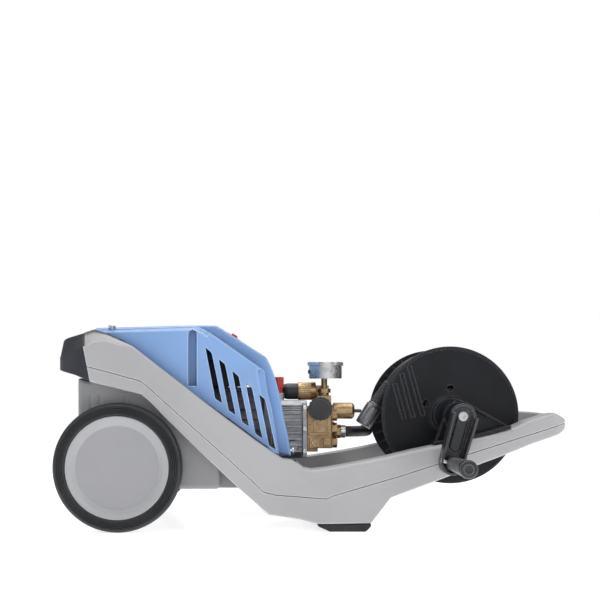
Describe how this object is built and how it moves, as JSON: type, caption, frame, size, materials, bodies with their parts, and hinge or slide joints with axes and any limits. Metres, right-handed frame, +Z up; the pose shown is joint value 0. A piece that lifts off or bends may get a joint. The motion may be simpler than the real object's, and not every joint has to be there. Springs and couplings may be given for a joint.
{
  "type": "pressure washer",
  "caption": "Low two-wheeled electric pressure washer: grey rail frame with carrying handle, blue louvred hood, brass pump with gauge, and a crank-driven hose reel.",
  "frame": {"origin": "middle of the rubber foot's underside, on the ground plane", "axes": "+X along the machine from the motor towards the handle, +Y across to the side without the crank, +Z up"},
  "size_m": [0.787, 0.4799, 0.313],
  "materials": {
    "shell_grey": "fine satin moulding grain",
    "tub_grey": "fine satin moulding grain",
    "trim_dark": "satin moulding grain",
    "liner_black": "satin",
    "hood_blue": "semi-gloss moulded plastic",
    "zinc_steel": "bright zinc-plated steel",
    "foot_rubber": "matt rubber",
    "tyre_rubber": "matt rubber with fine ribs",
    "rim_grey": "satin moulded plastic",
    "cast_aluminium": "die-cast, shot-blasted",
    "brass": "machined and cast brass",
    "black_plastic": "satin moulded plastic",
    "reel_black": "satin moulded plastic",
    "arm_black": "satin black",
    "red_plastic": "gloss moulded plastic",
    "dark_steel": "blackened steel",
    "gauge_chrome": "polished stainless steel",
    "dial_white": "printed white dial",
    "needle_red": "painted",
    "clear_glass": "clear window",
    "hose_black": "smooth black hose cover",
    "union_grey": "satin grip plastic"
  },
  "bodies": {
    "chassis": {"frame_upper": "shell_grey", "frame_lower": "shell_grey", "frame_liner": "liner_black", "tub": "tub_grey", "rear_bumper": "trim_dark", "hood": "hood_blue", "hood_screws": "zinc_steel", "cross_member": "liner_black", "front_foot": "foot_rubber", "axle": "zinc_steel", "motor_housing": "cast_aluminium", "motor_front_bell": "cast_aluminium", "fan_cover": "black_plastic", "terminal_box": "black_plastic", "motor_mounts": "foot_rubber", "motor_bearings": "zinc_steel", "crankcase": "cast_aluminium", "plungers": "zinc_steel", "pump_head": "brass", "valve_plugs": "brass", "oil_cap": "red_plastic", "unloader_body": "brass", "tee_block": "brass", "gauge_stem": "brass", "gauge_case": "gauge_chrome", "gauge_dial": "dial_white", "gauge_glass": "clear_glass", "suction_union": "brass", "suction_elbow": "black_plastic", "outlet_fitting": "brass", "link_hose": "hose_black", "link_ferrules": "zinc_steel", "reel_bracket_right": "reel_black", "reel_bracket_left": "reel_black", "reel_swivel": "brass", "switch_base": "black_plastic", "cable_gland": "black_plastic"},
    "left_wheel": {"left_tyre": "tyre_rubber", "left_rim": "rim_grey"},
    "right_wheel": {"right_tyre": "tyre_rubber", "right_rim": "rim_grey"},
    "rotor": {"rotor_shaft": "zinc_steel", "cooling_fan": "black_plastic", "swash_plate": "zinc_steel"},
    "reel": {"reel_drum": "reel_black", "reel_flange_right": "reel_black", "reel_flange_left": "reel_black", "crank_arm": "arm_black", "crank_screw": "zinc_steel", "grip_pin": "zinc_steel", "hose_coil": "hose_black", "hose_tail": "hose_black", "hose_sleeve": "union_grey", "hose_union": "union_grey"},
    "grip_arm": {"grip_spindle": "arm_black"},
    "grip": {"crank_grip": "black_plastic"},
    "knob": {"pressure_knob": "black_plastic"},
    "needle": {"gauge_needle": "needle_red"},
    "switch": {"switch_knob": "red_plastic"},
    "spindle": {"unloader_spindle": "dark_steel"}
  },
  "joints": [
    {"name": "left_wheel_spin", "type": "hinge", "parent": "chassis", "child": "left_wheel", "pos_m": [-0.345, 0.1685, 0.097], "axis": [0, 1, 0], "continuous": true},
    {"name": "right_wheel_spin", "type": "hinge", "parent": "chassis", "child": "right_wheel", "pos_m": [-0.345, -0.1685, 0.097], "axis": [0, 1, 0], "continuous": true},
    {"name": "rotor_spin", "type": "hinge", "parent": "chassis", "child": "rotor", "pos_m": [-0.2, 0, 0.15], "axis": [1, 0, 0], "continuous": true},
    {"name": "reel_spin", "type": "hinge", "parent": "chassis", "child": "reel", "pos_m": [0.171, 0, 0.1735], "axis": [0, 1, 0], "continuous": true},
    {"name": "grip_fold", "type": "hinge", "parent": "reel", "child": "grip_arm", "pos_m": [0.15188, -0.188, 0.10408], "axis": [-0.9641, 0, 0.2656], "range_deg": [0, 90]},
    {"name": "grip_spin", "type": "hinge", "parent": "grip_arm", "child": "grip", "pos_m": [0.15188, -0.24, 0.10408], "axis": [0, -1, 0], "continuous": true},
    {"name": "pressure_knob_turn", "type": "hinge", "parent": "chassis", "child": "knob", "pos_m": [-0.0335, -0.055, 0.183], "axis": [0, -1, 0], "range_deg": [0, 300]},
    {"name": "gauge_needle_turn", "type": "hinge", "parent": "chassis", "child": "needle", "pos_m": [-0.021, 0, 0.2475], "axis": [0, 0, -1], "range_deg": [0, 270]},
    {"name": "switch_turn", "type": "hinge", "parent": "chassis", "child": "switch", "pos_m": [-0.176, 0, 0.2986], "axis": [0.5373, 0, 0.8434], "range_deg": [0, 90]},
    {"name": "unloader_slide", "type": "slide", "parent": "chassis", "child": "spindle", "axis": [1, 0, 0], "range_m": [0, 0.004], "stiffness_N_per_m": 800}
  ]
}
